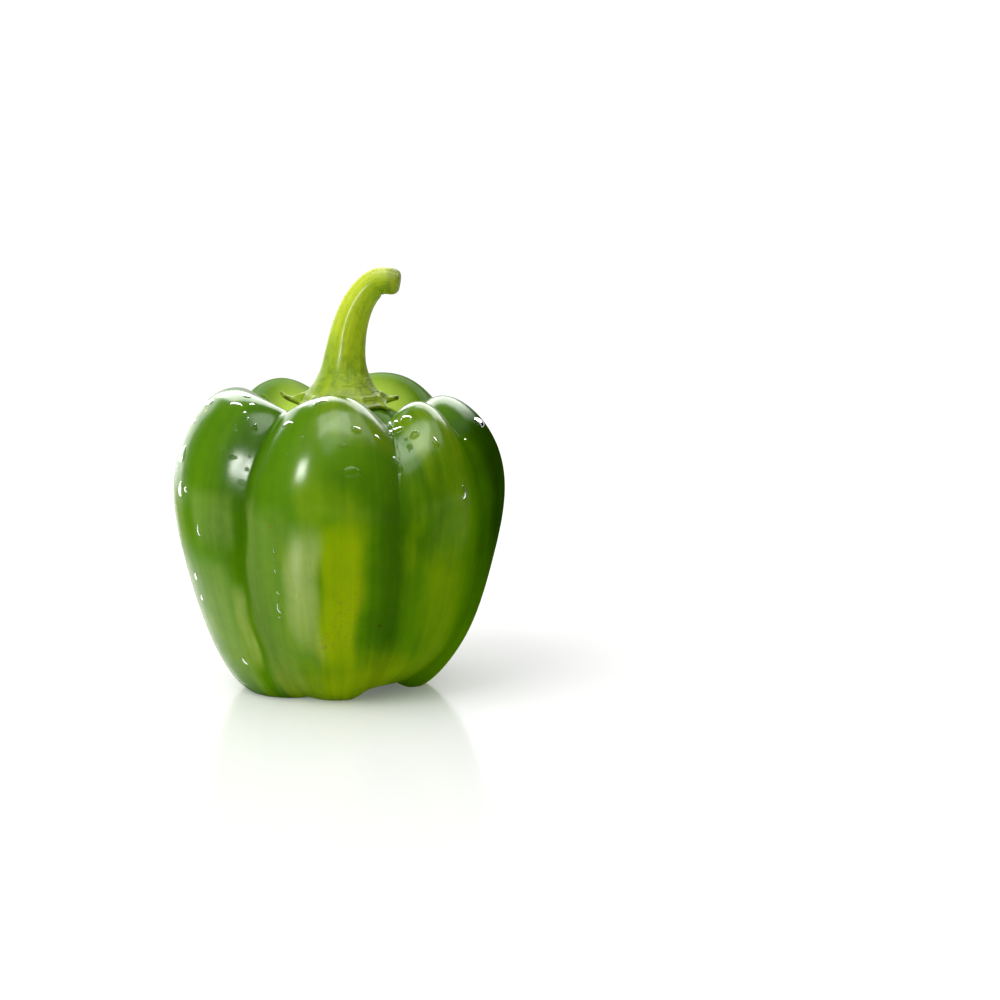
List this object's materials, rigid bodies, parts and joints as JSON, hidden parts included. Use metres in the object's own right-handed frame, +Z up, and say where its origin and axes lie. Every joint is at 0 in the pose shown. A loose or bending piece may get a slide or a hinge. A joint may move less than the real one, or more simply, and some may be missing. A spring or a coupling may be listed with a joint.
{
  "type": "bell pepper",
  "caption": "Whole raw green bell pepper standing upright, glossy lobed fruit with deep shoulder grooves, hooked stalk and toothed calyx.",
  "frame": {"origin": "centre of the part's footprint, on the surface that the pepper stands on", "axes": "+Z up from the blossom end to the stalk; -Y is the front, where the broad middle lobe faces; +X is the side that the stalk hooks towards"},
  "size_m": [0.0904, 0.0879, 0.1153],
  "materials": {
    "fruit_skin": "smooth waxy pepper skin, high gloss, deep green turning yellow-green on the middle of the lobes and near the blossom end",
    "stem_green": "ribbed yellow-green stalk with a soft sheen, pale collar round its flare and a brown corky cut end"
  },
  "bodies": {
    "root": {"fruit": "fruit_skin", "stem": "stem_green"}
  },
  "joints": []
}
